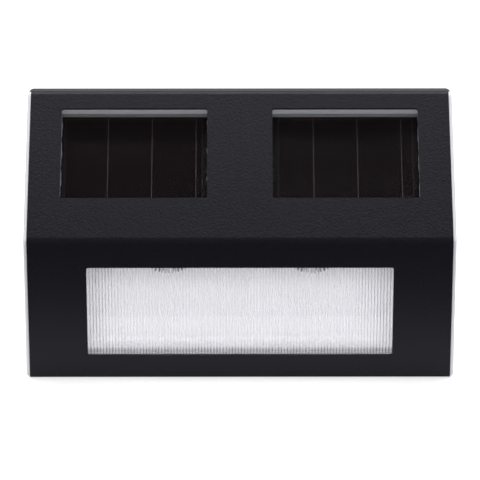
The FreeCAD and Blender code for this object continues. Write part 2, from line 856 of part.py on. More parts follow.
def cradle_walls():
    """Two end walls for the contacts and two snap-in clips for the battery."""
    half = cell_r + cradle_fit
    walls = []
    for side in (-1, 1):
        x0, x1 = sorted((side * cradle_half, side * (cradle_half + cradle_end_t)))
        walls.append(block(x0, x1, cell_y - half, -back_t, cell_z - half, cell_z + half))
        centre = side * clip_spacing / 2
        clip = block(centre - clip_t / 2, centre + clip_t / 2, cell_y - clip_reach, -back_t,
                     cell_z - half - clip_wall, cell_z + half + clip_wall)
        walls.append(clip.cut(along_x(half, centre - clip_t, centre + clip_t)))
    return walls


def dish_plate(grow, y0, y1):
    """Rectangle centred on the switch, the size of the dish grown by a wall."""
    half_w = dish_w / 2 + grow
    half_h = dish_h / 2 + grow
    return plate(BACK, -half_w, half_w, z_switch - half_h, z_switch + half_h, y0, y1, dish_corner_r)


def dish_shell():
    return dish_plate(dish_wall, dish_back, -back_t / 2)


def dish_cut():
    """Finger dish in the rear face and the slot for the knob in its floor."""
    return dish_plate(0, -dish_depth, 0).fuse(knob_slot(dish_back - fit, 0))


def knob_slot(y0, y1):
    half_l = (knob_l + switch_travel) / 2 + knob_gap
    half_w = knob_w / 2 + knob_gap
    return block(-half_l, half_l, y0, y1, z_switch - half_w, z_switch + half_w)


def switch_rails():
    """Two posts that grip the ends of the switch case."""
    half = switch_l / 2 + fit
    rails = []
    for side in (-1, 1):
        x0, x1 = sorted((side * half, side * (half + rail_t)))
        rails.append(block(x0, x1, case_back, dish_back, z_switch - switch_w / 2, z_switch + switch_w / 2))
    return rails


def locators():
    """Short ribs that stand just inside the body's rear rim."""
    inset = rim_width + locator_gap
    depth = body_back - locator_h
    ribs = []
    low = z_bottom + inset
    side_z = (z_bottom + z_plate_top) / 2
    for side in (-1, 1):
        x = side * keyhole_spacing / 2
        ribs.append(block(x - locator_l / 2, x + locator_l / 2, depth, -back_t, low, low + locator_t))
        x0, x1 = sorted((side * (half_body - inset), side * (half_body - inset - locator_t)))
        ribs.append(block(x0, x1, depth, -back_t, side_z - locator_l / 2, side_z + locator_l / 2))
    return ribs


def gasket_ring(inset, y0, y1):
    return plate(BACK, inset - half_body, half_body - inset, z_bottom + inset, z_plate_top - inset, y0, y1)


def back_gasket():
    ring = gasket_ring(gasket_inset, body_back, -back_t)
    return ring.cut(gasket_ring(gasket_inset + gasket_w, body_back, -back_t))


# ---- switch ----

def switch_case():
    """Plated can round the slider, open towards its base."""
    half_l = switch_l / 2
    half_w = switch_w / 2
    can = block(-half_l, half_l, case_back, dish_back, z_switch - half_w, z_switch + half_w)
    room = block(switch_wall - half_l, half_l - switch_wall, case_back, dish_back - switch_wall,
                 z_switch - half_w + switch_wall, z_switch + half_w - switch_wall)
    return can.cut(room).cut(knob_slot(case_back, dish_back))


def terminal_places():
    return [i * terminal_pitch for i in (-1, 0, 1)]


def terminal(x):
    high = shoe_back - clip_contact_t - shoe_gap
    low = case_back - switch_base_t - terminal_l
    half_w = terminal_w / 2
    half_t = terminal_t / 2
    return block(x - half_w, x + half_w, low, high, z_switch - half_t, z_switch + half_t)


def switch_terminals():
    return group([terminal(x) for x in terminal_places()])


def switch_base():
    base = block(-switch_l / 2, switch_l / 2, case_back - switch_base_t, case_back, z_switch - switch_w / 2,
                 z_switch + switch_w / 2)
    return base.cut(switch_terminals())


def switch_knob():
    """Slider at its off place: a stem through the dish and a wide shoe inside the case."""
    x = -switch_travel / 2
    half_w = knob_w / 2
    stem = block(x - knob_l / 2, x + knob_l / 2, shoe_back, -knob_tip, z_switch - half_w, z_switch + half_w)
    end_edges = [edge for edge in stem.Edges if edge.BoundBox.YMin > -knob_tip - tiny]
    stem = stem.makeFillet(knob_edge_r, end_edges)
    shoe = block(x - shoe_l / 2, x + shoe_l / 2, shoe_back, shoe_back + shoe_t, z_switch - shoe_w / 2,
                 z_switch + shoe_w / 2)
    return joined([stem, shoe])


def switch_contact():
    """Clip under the slider that bridges two terminals."""
    x = -switch_travel / 2
    half_l = (terminal_pitch + terminal_w) / 2
    half_w = clip_contact_w / 2
    return block(x - half_l, x + half_l, shoe_back - clip_contact_t, shoe_back, z_switch - half_w,
                 z_switch + half_w)


# ---- screws ----

def back_screws():
    back = Vector(0, 1, 0)
    return group([screw(Vector(x, -counterbore_depth, z), back, back_screw) for x, z in boss_places()])


def reflector_screws():
    back = Vector(0, 1, 0)
    lift = Vector(0, reflector_t, 0)
    return group([screw(ear_seat(side) + lift, back, small_screw) for side in (-1, 1)])


def board_screws():
    up = Vector(0, 0, 1)
    return group([screw(Vector(x, y, z_board_top), up, small_screw) for x, y in post_places()])


# ---- wires: routes chosen by hand between the named ends ----

wire_end_y = board_rear - wire_on_board
tab_top = cell_z + contact_w / 2 + contact_tab_h
tab_face = cradle_half - contact_t
terminal_tip = case_back - switch_base_t - terminal_l - 2 * fit


def panel_wire(x):
    """From the panel's back through the tray floor, down behind the board and onto its rear edge."""
    start = on_slope(x, lead_hole_s, cell_depth + backing_t)
    bend = on_slope(x, lead_hole_s, tray_back + wire_out)
    return [start, bend, Vector(x * 1.02, bend.y - wire_r, z_wire + wire_r),
            Vector(x * 0.99, board_rear + wire_behind_board, z_wire + wire_r), Vector(x, wire_end_y, z_wire)]


def battery_wire_start(side):
    """Foot of a wire on its contact's tab, and its first bend above the tab."""
    x = side * (tab_face - wire_r)
    y = cell_y - wire_forward
    return [Vector(x, cell_y, tab_top - wire_tab_drop), Vector(x - side * wire_r, y, tab_top + wire_rise)]


def red_routes():
    middle_y = cell_y - wire_front_run
    from_battery = battery_wire_start(1)
    from_battery += [Vector(wire_middle_x, middle_y, z_switch + wire_r),
                     Vector(2 * terminal_pitch, terminal_tip - wire_loop, z_switch),
                     Vector(terminal_pitch, terminal_tip, z_switch)]
    to_board = [Vector(0, terminal_tip, z_switch), Vector(-wire_r, board_rear - wire_r, z_switch + wire_r),
                Vector(-2 * wire_r, board_rear - 2 * wire_r, z_board_low - fit)]
    inner = lead_hole_x - wire_pitch / 2
    return [panel_wire(-inner), panel_wire(inner), from_battery, to_board]


def black_routes():
    middle_y = cell_y - wire_front_run
    from_battery = battery_wire_start(-1)
    from_battery += [Vector(-wire_middle_x, middle_y, z_switch + wire_loop),
                     Vector(black_end_x - wire_r, board_rear + wire_loop, z_wire + wire_r),
                     Vector(black_end_x, wire_end_y, z_wire)]
    outer = lead_hole_x + wire_pitch / 2
    return [panel_wire(-outer), panel_wire(outer), from_battery]


def wires(routes):
    return [tube(points, wire_r) for points in routes]


def solder_joints(red, black):
    """Domes over the lamp leads and the wire ends on the board."""
    ends = [(route[-1].x, route[-1].y) for route in red_routes() + black_routes()]
    ends.remove((terminal_pitch, terminal_tip))
    above = block(-half_body, half_body, front_y, 0, z_board_top, z_top)
    held = group(red + black + [led_leads()])
    domes = []
    for x, y in ends + led_lead_places():
        ball = Part.makeSphere(solder_r, Vector(x, y, z_board_top))
        domes.append(ball.common(above).cut(held))
    return group(domes)


def build():
    red = wires(red_routes())
    black = wires(black_routes())
    nodes = {
        "cover_sheet": cover_sheet(),
        "body_shell": body_shell(),
        "back_cover": back_cover(),
        "back_gasket": back_gasket(),
        "back_screws": back_screws(),
        "lens": lens(),
        "reflector": reflector(),
        "reflector_screws": reflector_screws(),
        "led_left": led(-led_spacing / 2),
        "led_right": led(led_spacing / 2),
        "led_leads": led_leads(),
        "circuit_board": circuit_board(),
        "board_screws": board_screws(),
        "control_chip": control_chip(),
        "chip_leads": chip_leads(),
        "coil_core": coil_core(),
        "coil_winding": coil_winding(),
        "capacitor": capacitor(),
        "solder_joints": solder_joints(red, black),
        "battery_can": battery_can(),
        "battery_sleeve": battery_sleeve(),
        "battery_cap": battery_cap(),
        "positive_contact": contact(1),
        "negative_contact": contact(-1),
        "contact_spring": contact_spring(),
        "switch_case": switch_case(),
        "switch_base": switch_base(),
        "switch_terminals": switch_terminals(),
        "switch_knob": switch_knob(),
        "switch_contact": switch_contact(),
        "wires_red": group(red),
        "wires_black": group(black),
    }
    for name in panel_x:
        nodes["solar_glass_" + name] = solar_glass(name)
        nodes["solar_cells_" + name] = group(cell_strips(name))
        nodes["solar_backing_" + name] = solar_backing(name)
    return nodes


os.makedirs("parts", exist_ok=True)
for node, shape in build().items():
    shape.exportStep("parts/" + node + ".step")
    print(node, len(shape.Solids), shape.isValid(), round(shape.Volume, 2))
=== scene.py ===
"""Solar fence light: finishes, ribbed lens, lamp and panel details, and the studio they stand in."""
import json
import math

import bmesh
import bpy
import numpy as np
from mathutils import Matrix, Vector


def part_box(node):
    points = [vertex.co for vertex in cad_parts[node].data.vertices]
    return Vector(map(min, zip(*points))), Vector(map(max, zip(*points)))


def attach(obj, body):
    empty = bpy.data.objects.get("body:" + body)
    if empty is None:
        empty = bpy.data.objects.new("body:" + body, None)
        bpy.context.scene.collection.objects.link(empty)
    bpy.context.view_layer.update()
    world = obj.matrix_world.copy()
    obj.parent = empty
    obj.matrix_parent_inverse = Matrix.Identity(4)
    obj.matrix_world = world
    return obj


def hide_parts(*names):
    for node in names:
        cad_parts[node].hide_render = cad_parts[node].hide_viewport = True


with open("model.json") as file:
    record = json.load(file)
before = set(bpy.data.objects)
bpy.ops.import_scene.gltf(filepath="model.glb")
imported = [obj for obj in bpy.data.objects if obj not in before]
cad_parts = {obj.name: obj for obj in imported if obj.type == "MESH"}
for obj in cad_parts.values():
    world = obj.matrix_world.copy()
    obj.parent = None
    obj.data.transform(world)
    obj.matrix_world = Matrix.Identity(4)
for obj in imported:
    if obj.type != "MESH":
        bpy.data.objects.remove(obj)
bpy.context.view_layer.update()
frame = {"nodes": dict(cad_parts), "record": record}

bl_info = {
    "name": "Solar fence light",
    "version": (1, 0, 0),
    "blender": (4, 5, 0),
    "location": "View3D > Sidebar > Fence light",
    "description": "Dresses the fence light's frame with its finishes, lens, panels and studio",
    "category": "Object",
}

MM = 0.001
NODES = frame["nodes"]
SLOTS = {part["node"]: part["material_slot"] for part in frame["record"]["subparts"]}
SIDES = ("left", "right")

# The leaning face that carries the panels: its lower end is the ridge, and it leans back by this angle.
SLOPE_DEG = 45.0
FRONT_HEIGHT = 40.7 * MM
COVER_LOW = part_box("cover_sheet")[0]
BODY_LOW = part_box("body_shell")[0]
RIDGE = np.array([0.0, COVER_LOW[1], BODY_LOW[2] + FRONT_HEIGHT])
UP_SLOPE = np.array([0.0, math.sin(math.radians(SLOPE_DEG)), math.cos(math.radians(SLOPE_DEG))])
OUT_OF_SLOPE = np.array([0.0, -UP_SLOPE[2], UP_SLOPE[1]])

# The lens and its window. The plate reaches behind the cover all round the window.
LENS_LOW, LENS_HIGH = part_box("lens")
LENS_OVERLAP = 2.0 * MM
WINDOW_LOW = LENS_LOW[2] + LENS_OVERLAP
WINDOW_HIGH = LENS_HIGH[2] - LENS_OVERLAP
RIB_ROUNDNESS = 2.2             # 2 makes a rib's section a parabola, and more makes it fuller
RIB_STEPS = 8                   # across one rib
RIB_ROWS = 14                   # along a rib
RIB_END = 0.1 * MM              # length over which the ribs rise at their ends
RIB_DRIFT = 0.008               # share of a rib's height that comes and goes along it
RIB_SHADE_FOOT = 1.9 * MM            # painted shade at the ribs' feet reaches this far above the window's lower edge
RIB_SHADE_TOP = 3.0 * MM             # and the fainter painted shade at their tops this far below its upper edge

# The lamps hang as far to the left as to the right, so this one's place does for both.
LAMP_LOW, LAMP_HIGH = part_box("led_right")
LAMP_X = (LAMP_LOW[0] + LAMP_HIGH[0]) / 2
LAMP_Y = (LAMP_LOW[1] + LAMP_HIGH[1]) / 2

# The light chamber: painted shade on its floor, and painted shade on the collars round the lamps.
CHAMBER_FLOOR = WINDOW_LOW - 0.4 * MM
FLOOR_SHADE_LOW = CHAMBER_FLOOR + 0.05 * MM
FLOOR_SHADE_HIGH = CHAMBER_FLOOR + 0.25 * MM
FLOOR_SHADE_REACH = 5.0 * MM           # behind the lens
COLLAR_FOOT = RIDGE[2] - 10.6 * MM
COLLAR_REACH = 4.0 * MM         # from the lamp's axis
COLLAR_BACK = LAMP_Y + COLLAR_REACH
BORDER = 0.1 * MM               # soft border between two colours

# The two posts in a lamp: where they start over its tip and end under its top, their places off its axis,
# and their half widths at heights over their lower ends. One is wide below, where its cup holds the chip.
POSTS_OVER_TIP = 3.1 * MM
POSTS_UNDER_TOP = 0.5 * MM
POST_HEIGHTS = np.array([0.0, 0.8, 1.4, 3.0, 6.0]) * MM
POST_THICKNESS = 0.5 * MM
CUP_OFF_AXIS = -0.65 * MM
CUP_POST = np.array([1.1, 1.1, 0.5, 0.3, 0.3]) * MM
PLAIN_OFF_AXIS = 1.3 * MM
PLAIN_POST = np.array([0.35, 0.45, 0.45, 0.3, 0.3]) * MM
PHOSPHOR_RADIUS = 0.8 * MM
PHOSPHOR_HEIGHT = 0.35 * MM

# The panels' thin lines: film on the back of the glass, the beads of sealant at each panel's left and
# right edge, and the matt ground strip along the upper edge of the glass.
FILM = 0.02 * MM
BEAD_WIDTHS = {"left": (0.34 * MM, 0.3 * MM), "right": (0.16 * MM, 0.2 * MM)}
BEAD_HEIGHT = 0.8               # share of a bead's width
BEAD_STEPS = 90                 # along a bead
BEAD_ARC_STEPS = 7              # across its half ellipse
GROUND_STRIP = 0.12 * MM
GLASS_SKIN = 0.05 * MM          # clear glass left round the strip

# Sockets of a Mix node that blends two colours: by number, because its sockets share their names.
MIX_FACTOR, MIX_LOW, MIX_HIGH, MIX_RESULT = 0, 6, 7, 2
NOISE_LOW, NOISE_HIGH = 0.3, 0.7          # most of a noise pattern's values lie between these
WAVE_LENGTH = math.pi / 10                # of a wave pattern's bands at scale 1


# ---- settings ----

def linear(code):
    """sRGB hex colour as the linear RGBA that shaders take."""
    parts = [int(code[i:i + 2], 16) / 255 for i in (1, 3, 5)]
    return [p / 12.92 if p <= 0.04045 else ((p + 0.055) / 1.055) ** 2.4 for p in parts] + [1.0]


def colour(name, description, code):
    """Colour setting, whose default is an sRGB hex value."""
    return bpy.props.FloatVectorProperty(name=name, description=description, subtype="COLOR", size=4,
                                         min=0.0, max=1.0, default=linear(code))


def length(name, description, millimetres):
    """Length setting, whose default is in millimetres."""
    return bpy.props.FloatProperty(name=name, description=description, unit="LENGTH", min=0.0, precision=5,
                                   default=millimetres * MM)


class FenceLightSizes(bpy.types.PropertyGroup):
    rib_pitch: length("Rib pitch", "Distance from one lens rib to the next", 0.86)
    rib_height: length("Rib height", "How far the ribs stand out behind the lens plate", 0.18)
    track_width: length("Track width", "Bare conductor lines at the edges of the cells", 0.3)
    scribe_width: length("Scribe width", "Laser-cut line between two cells", 0.18)
    coat_grain: length("Coat grain", "Size of the powder coat's fine lumps", 0.55)


class FenceLightColours(bpy.types.PropertyGroup):
    coat: colour("Powder coat", "Black coat of the folded cover", "#06060a")
    coat_high: colour("Coat highs", "Tops of the coat's fine lumps", "#0e0e14")
    body: colour("Body", "White moulded body", "#dedfe2")
    reflector: colour("Reflector", "Glossy white light chamber", "#eeeef0")
    # Painted shade on the chamber's floor, darkest just behind the lens.
    floor_shade: colour("Chamber dust", "Greyer floor of the light chamber", "#565659")
    # Painted shade on the chamber's white collars round the lamps.
    collar_shade: colour("Lamp collars", "Grey collars round the lamps", "#8a8a8e")
    cover: colour("Back cover", "Black moulded back cover, knob, seal and wires", "#141416")
    cell: colour("Cells", "Dark thin-film cells behind the glass", "#0e0709")
    cell_edge: colour("Cell edges", "Reddish film left bare at the cells' edges", "#2c1d1a")
    scribe: colour("Scribe lines", "Bright laser-cut lines between the cells", "#544c4e")
    board: colour("Solder mask", "Green lacquer of the circuit board", "#17492b")
    sleeve: colour("Battery sleeve", "Shrink sleeve of the battery", "#1d6b42")
    copper: colour("Winding", "Enamelled copper wire", "#b4622f")
    sealant: colour("Sealant", "Grey sealant at the edges of the glass", "#77777c")
    ground_edge: colour("Ground edge", "Ground and sealed upper edge of the glass", "#89888d")
    red_wire: colour("Red wire", "Insulation of the positive wires", "#b01218")


class FenceLightLighting(bpy.types.PropertyGroup):
    room: bpy.props.FloatProperty(name="Room light", description="Even light from all round", min=0.0,
                                  default=0.35)
    key: bpy.props.FloatProperty(name="Overhead light", description="Power of the soft box above", min=0.0,
                                 unit="POWER", default=6.0)
    fill: bpy.props.FloatProperty(name="Front light", description="Power of the soft box in front", min=0.0,
                                  unit="POWER", default=4.5)
    rear: bpy.props.FloatProperty(name="Rear light", description="Power of the soft box behind", min=0.0,
                                  unit="POWER", default=3.0)
    floor: colour("Floor", "Pale floor", "#e8e8e8")


# ---- node and mesh helpers ----

def add(tree, kind, settings=None, links=None):
    """Adds a node. Settings are its input values or attributes, links the sockets that feed its inputs."""
    node = tree.nodes.new("ShaderNode" + kind)
    for name, value in (settings or {}).items():
        if isinstance(name, int) or name in node.inputs:
            node.inputs[name].default_value = value
        else:
            setattr(node, name, value)
    for name, source in (links or {}).items():
        tree.links.new(source, node.inputs[name])
    return node


def new_material(name, settings):
    """A material with one Principled shader; returns the material, its tree and the shader."""
    material = bpy.data.materials.new(name)
    material.use_nodes = True
    tree = material.node_tree
    shader = tree.nodes["Principled BSDF"]
    for key, value in settings.items():
        shader.inputs[key].default_value = value
    return material, tree, shader


def in_millimetres(tree):
    """The piece's own coordinates, in millimetres."""
    place = add(tree, "TexCoord").outputs["Object"]
    return add(tree, "Mapping", {"Scale": (1 / MM, 1 / MM, 1 / MM)}, {"Vector": place}).outputs[0]


def axes(tree):
    """The piece's own X, Y and Z, in metres."""
    return add(tree, "SeparateXYZ", {}, {0: add(tree, "TexCoord").outputs["Object"]}).outputs


def lumps(tree, shader, size_mm, depth_mm, detail=2.0):
    """Fine relief of the given lump size and depth on the whole surface; returns its noise."""
    noise = add(tree, "TexNoise", {"Scale": 1 / size_mm, "Detail": detail}, {"Vector": in_millimetres(tree)})
    bump = add(tree, "Bump", {"Strength": 1.0, "Distance": depth_mm * MM}, {"Height": noise.outputs["Fac"]})
    tree.links.new(bump.outputs["Normal"], shader.inputs["Normal"])
    return noise


def vary_roughness(tree, shader, noise, low, high):
    """Roughness that follows a noise, from a low to a high value."""
    spread = add(tree, "MapRange", {"From Min": NOISE_LOW, "From Max": NOISE_HIGH,
                                    "To Min": low, "To Max": high}, {"Value": noise.outputs["Fac"]})
    tree.links.new(spread.outputs["Result"], shader.inputs["Roughness"])


def let_shadows_through(tree, shader, clearness=0.9):
    """Lets light through clear material with only a faint shadow, as the real one does."""
    path = add(tree, "LightPath")
    clear = add(tree, "BsdfTransparent", {"Color": (clearness, clearness, clearness, 1.0)})
    both = add(tree, "MixShader", {},
               {0: path.outputs["Is Shadow Ray"], 1: shader.outputs[0], 2: clear.outputs[0]})
    tree.links.new(both.outputs[0], tree.nodes["Material Output"].inputs["Surface"])


def dress(material, slot):
    """Gives every CAD node of a slot its finish."""
    for node, name in SLOTS.items():
        if name == slot:
            NODES[node].data.materials.clear()
            NODES[node].data.materials.append(material)


def slab(front, back):
    """Points and faces of a closed solid between two matching grids, joined round their edges."""
    rows, columns = front.shape[:2]
    points = np.concatenate([front.reshape(-1, 3), back.reshape(-1, 3)])
    index = np.arange(rows * columns).reshape(rows, columns)
    far = index + rows * columns
    faces = [grid_quads(index), grid_quads(far)[:, ::-1]]
    rim = np.concatenate([index[0, :-1], index[:-1, -1], index[-1, :0:-1], index[:0:-1, 0]])
    following = np.roll(rim, -1)
    faces.append(np.stack([rim, rim + rows * columns, following + rows * columns, following], axis=1))
    return points, np.concatenate(faces)


def grid_quads(index):
    """Four-cornered faces over a grid of point numbers."""
    corners = (index[:-1, :-1], index[:-1, 1:], index[1:, 1:], index[1:, :-1])
    return np.stack([c.reshape(-1) for c in corners], axis=1)


def merged(solids):
    """Several (points, faces) solids as one."""
    start = 0
    points, faces = [], []
    for solid_points, solid_faces in solids:
        points.append(solid_points)
        faces.append(solid_faces + start)
        start += len(solid_points)
    return np.concatenate(points), np.concatenate(faces)


def make_piece(name, solid, material, sharp_deg=35.0):
    """Mesh object from (points, faces), faces outwards, smooth up to the given edge angle, on the housing."""
    points, faces = solid
    mesh = bpy.data.meshes.new(name)
    mesh.from_pydata(points.tolist(), [], faces.tolist())
    work = bmesh.new()
    work.from_mesh(mesh)
    bmesh.ops.recalc_face_normals(work, faces=work.faces)
    work.to_mesh(mesh)
    work.free()
    mesh.shade_smooth()
    mesh.set_sharp_from_angle(angle=math.radians(sharp_deg))
    mesh.materials.append(material)
    piece = bpy.data.objects.new(name, mesh)
    bpy.context.scene.collection.objects.link(piece)
    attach(piece, "housing")
    return piece


def node_points(node):
    """The points of a CAD node's mesh."""
    mesh = NODES[node].data
    flat = np.empty(len(mesh.vertices) * 3)
    mesh.vertices.foreach_get("co", flat)
    return flat.reshape(-1, 3)


def on_slope_of(points):
    """Points as (x, way up the slope, depth under its outer face)."""
    away = points - RIDGE
    return np.stack([away[:, 0], away @ UP_SLOPE, -(away @ OUT_OF_SLOPE)], axis=1)


def from_slope(x, along, depth):
    """Points from arrays of x, way up the slope and depth under its outer face."""
    x, along, depth = np.broadcast_arrays(x, along, depth)
    across = x[..., None] * np.array([1.0, 0.0, 0.0])
    return RIDGE + across + along[..., None] * UP_SLOPE - depth[..., None] * OUT_OF_SLOPE


def slope_plate(x0, x1, low, high, depth0, depth1):
    """Flat plate that lies in the slope."""
    x, along = np.meshgrid([x0, x1], [low, high])
    return slab(from_slope(x, along, depth0), from_slope(x, along, depth1))


# ---- finishes ----

def powder_coat(colours, sizes):
    """Fine-textured polyester powder on folded steel: satin black with a soft, close-set grain, drawn a
    little coarse so that it shows."""
    material, tree, shader = new_material("powder_coat", {
        "Specular IOR Level": 0.22, "Specular Tint": linear("#f6f3ff")})
    noise = lumps(tree, shader, size_mm=sizes.coat_grain / MM, depth_mm=0.075, detail=4.0)
    height = add(tree, "MapRange", {"From Min": 0.35, "From Max": 0.65}, {"Value": noise.outputs["Fac"]})
    tone = add(tree, "Mix", {"data_type": "RGBA", MIX_LOW: colours.coat, MIX_HIGH: colours.coat_high},
               {MIX_FACTOR: height.outputs[0]})
    tree.links.new(tone.outputs[MIX_RESULT], shader.inputs["Base Color"])
    vary_roughness(tree, shader, noise, low=0.38, high=0.46)
    return material


def satin_white(colours):
    """White ABS from a lightly blasted mould: satin, with faint flow marks about 1.6 mm wide."""
    material, tree, shader = new_material("satin_white_abs", {"Base Color": colours.body, "IOR": 1.53})
    noise = lumps(tree, shader, size_mm=1.6, depth_mm=0.006)
    vary_roughness(tree, shader, noise, low=0.36, high=0.46)
    return material


def glossy_white(colours):
    """High-gloss white ABS of the light chamber: near mirror smooth, with shallow sink marks. Painted shade
    greys its floor, most of all along the front behind the lens, and greys the collars round the lamps."""
    material, tree, shader = new_material("glossy_white_abs", {"IOR": 1.53})
    noise = lumps(tree, shader, size_mm=6.0, depth_mm=0.02)
    vary_roughness(tree, shader, noise, low=0.22, high=0.32)
    place = axes(tree)
    # Painted shade: the floor greys towards its front edge behind the lens.
    floor = add(tree, "MapRange", {"From Min": FLOOR_SHADE_LOW, "From Max": FLOOR_SHADE_HIGH, "To Min": 1.0, "To Max": 0.0},
                {"Value": place["Z"]})
    front = add(tree, "MapRange", {"From Min": LENS_HIGH[1], "From Max": LENS_HIGH[1] + FLOOR_SHADE_REACH,
                                   "To Min": 1.0, "To Max": 0.0}, {"Value": place["Y"]})
    floor_shaded = add(tree, "Math", {"operation": "MULTIPLY"}, {0: floor.outputs[0], 1: front.outputs[0]})
    chamber = add(tree, "Mix", {"data_type": "RGBA", MIX_LOW: colours.reflector, MIX_HIGH: colours.floor_shade},
                  {MIX_FACTOR: floor_shaded.outputs[0]})
    # Painted shade: the collars round the lamps turn grey.
    aside = add(tree, "Math", {"operation": "ABSOLUTE"}, {0: place["X"]})
    by_lamp = add(tree, "Math", {"operation": "COMPARE", 1: LAMP_X, 2: COLLAR_REACH}, {0: aside.outputs[0]})
    high = add(tree, "MapRange", {"From Min": COLLAR_FOOT, "From Max": COLLAR_FOOT + BORDER},
               {"Value": place["Z"]})
    near = add(tree, "MapRange", {"From Min": COLLAR_BACK, "From Max": COLLAR_BACK + BORDER,
                                  "To Min": 1.0, "To Max": 0.0}, {"Value": place["Y"]})
    block = add(tree, "Math", {"operation": "MULTIPLY"}, {0: by_lamp.outputs[0], 1: high.outputs[0]})
    collar_shade = add(tree, "Math", {"operation": "MULTIPLY"}, {0: block.outputs[0], 1: near.outputs[0]})
    tone = add(tree, "Mix", {"data_type": "RGBA", MIX_HIGH: colours.collar_shade},
               {MIX_FACTOR: collar_shade.outputs[0], MIX_LOW: chamber.outputs[MIX_RESULT]})
    tree.links.new(tone.outputs[MIX_RESULT], shader.inputs["Base Color"])
    return material


def spark_textured_black(colours):
    """Black ABS from a spark-eroded mould: matt, with a fine even grain."""
    material, tree, shader = new_material("spark_textured_black_abs", {"Base Color": colours.cover})
    noise = lumps(tree, shader, size_mm=0.35, depth_mm=0.02, detail=3.0)
    vary_roughness(tree, shader, noise, low=0.5, high=0.65)
    return material


def seal_foam(colours):
    """Cellular rubber foam, cut from sheet: dull black, with pores about 0.4 mm wide at its surface."""
    material, tree, shader = new_material("seal_foam", {"Base Color": colours.cover, "Roughness": 0.9})
    pores = add(tree, "TexVoronoi", {"Scale": 1 / 0.4}, {"Vector": in_millimetres(tree)})
    bump = add(tree, "Bump", {"Distance": 0.15 * MM}, {"Height": pores.outputs["Distance"]})
    tree.links.new(bump.outputs["Normal"], shader.inputs["Normal"])
    return material


def clear_lens(sizes):
    """Moulded clear acrylic: bright and colourless, with painted shade in the grooves between the ribs, more
    so near their tops and most of all at their feet."""
    material, tree, shader = new_material("clear_acrylic", {
        "Transmission Weight": 1.0, "IOR": 1.49, "Specular IOR Level": 0.4})
    noise = lumps(tree, shader, size_mm=4.0, depth_mm=0.001, detail=0.0)
    vary_roughness(tree, shader, noise, low=0.04, high=0.08)
    place = axes(tree)
    # Painted shade in the grooves between the ribs: faint all over, more near their tops, most at their feet.
    turns = add(tree, "Math", {"operation": "DIVIDE", 1: sizes.rib_pitch}, {0: place["X"]})
    off_crest = add(tree, "Math", {"operation": "PINGPONG", 1: 0.5}, {0: turns.outputs[0]})
    groove = add(tree, "MapRange", {"From Min": 0.15, "From Max": 0.5}, {"Value": off_crest.outputs[0]})
    at_foot = add(tree, "MapRange", {"From Min": WINDOW_LOW + RIB_SHADE_FOOT - 2 * BORDER,
                                     "From Max": WINDOW_LOW + RIB_SHADE_FOOT, "To Min": 1.0, "To Max": 0.14},
                  {"Value": place["Z"]})
    at_top = add(tree, "MapRange", {"From Min": WINDOW_HIGH - RIB_SHADE_TOP, "From Max": WINDOW_HIGH,
                                    "To Min": 0.0, "To Max": 0.5}, {"Value": place["Z"]})
    most = add(tree, "Math", {"operation": "MAXIMUM"}, {0: at_foot.outputs[0], 1: at_top.outputs[0]})
    groove_shade = add(tree, "Math", {"operation": "MULTIPLY"}, {0: groove.outputs[0], 1: most.outputs[0]})
    tone = add(tree, "Mix", {"data_type": "RGBA", MIX_LOW: linear("#fcfcfd"), MIX_HIGH: linear("#a0a0a4")},
               {MIX_FACTOR: groove_shade.outputs[0]})
    tree.links.new(tone.outputs[MIX_RESULT], shader.inputs["Base Color"])
    let_shadows_through(tree, shader)
    return material


def lamp_epoxy():
    """Milky cast epoxy of the round-nosed lamps: pale and half clear, with faint casting waves."""
    material, tree, shader = new_material("lamp_epoxy", {
        "Base Color": linear("#f2f3f4"), "Transmission Weight": 0.45, "IOR": 1.53})
    noise = lumps(tree, shader, size_mm=1.5, depth_mm=0.003)
    vary_roughness(tree, shader, noise, low=0.02, high=0.06)
    let_shadows_through(tree, shader)
    return material


def panel_glass():
    """Low-glare float glass over the cells: flat and almost free of reflections, with a sheen that drifts
    every 9 mm or so."""
    material, tree, shader = new_material("panel_glass", {
        "Base Color": linear("#f4f7f6"), "Transmission Weight": 1.0, "IOR": 1.5,
        "Specular IOR Level": 0.05, "Specular Tint": linear("#606060")})
    noise = add(tree, "TexNoise", {"Scale": 1 / 9.0}, {"Vector": in_millimetres(tree)})
    vary_roughness(tree, shader, noise, low=0.01, high=0.05)
    let_shadows_through(tree, shader)
    return material


def thin_film(colours):
    """Thin-film silicon seen through glass: almost black, with a faint brown drift every 14 mm or so."""
    material, tree, shader = new_material("thin_film_silicon", {
        "Roughness": 0.35, "Specular IOR Level": 0.05})
    noise = add(tree, "TexNoise", {"Scale": 1 / 14.0, "Detail": 1.0}, {"Vector": in_millimetres(tree)})
    drift = add(tree, "Mix", {"data_type": "RGBA", MIX_LOW: colours.cell, MIX_HIGH: linear("#0a0607")},
                {MIX_FACTOR: noise.outputs["Fac"]})
    tree.links.new(drift.outputs[MIX_RESULT], shader.inputs["Base Color"])
    return material


def bare_conductor(colours, name, tone):
    """Transparent conductor laid bare by the laser: thin lines, a little brighter, and uneven every
    1.5 mm or so."""
    material, tree, shader = new_material(name, {"Roughness": 0.5, "Specular IOR Level": 0.1})
    noise = add(tree, "TexNoise", {"Scale": 1 / 1.5, "Detail": 3.0}, {"Vector": in_millimetres(tree)})
    uneven = add(tree, "Mix", {"data_type": "RGBA", MIX_LOW: colours.cell, MIX_HIGH: tone},
                 {MIX_FACTOR: noise.outputs["Fac"]})
    tree.links.new(uneven.outputs[MIX_RESULT], shader.inputs["Base Color"])
    return material


def grey_sealant(colours):
    """Smeared silicone sealant: grey, half matt and uneven."""
    material, tree, shader = new_material("silicone_sealant", {"Base Color": colours.sealant})
    vary_roughness(tree, shader, lumps(tree, shader, size_mm=0.8, depth_mm=0.05), low=0.4, high=0.6)
    return material


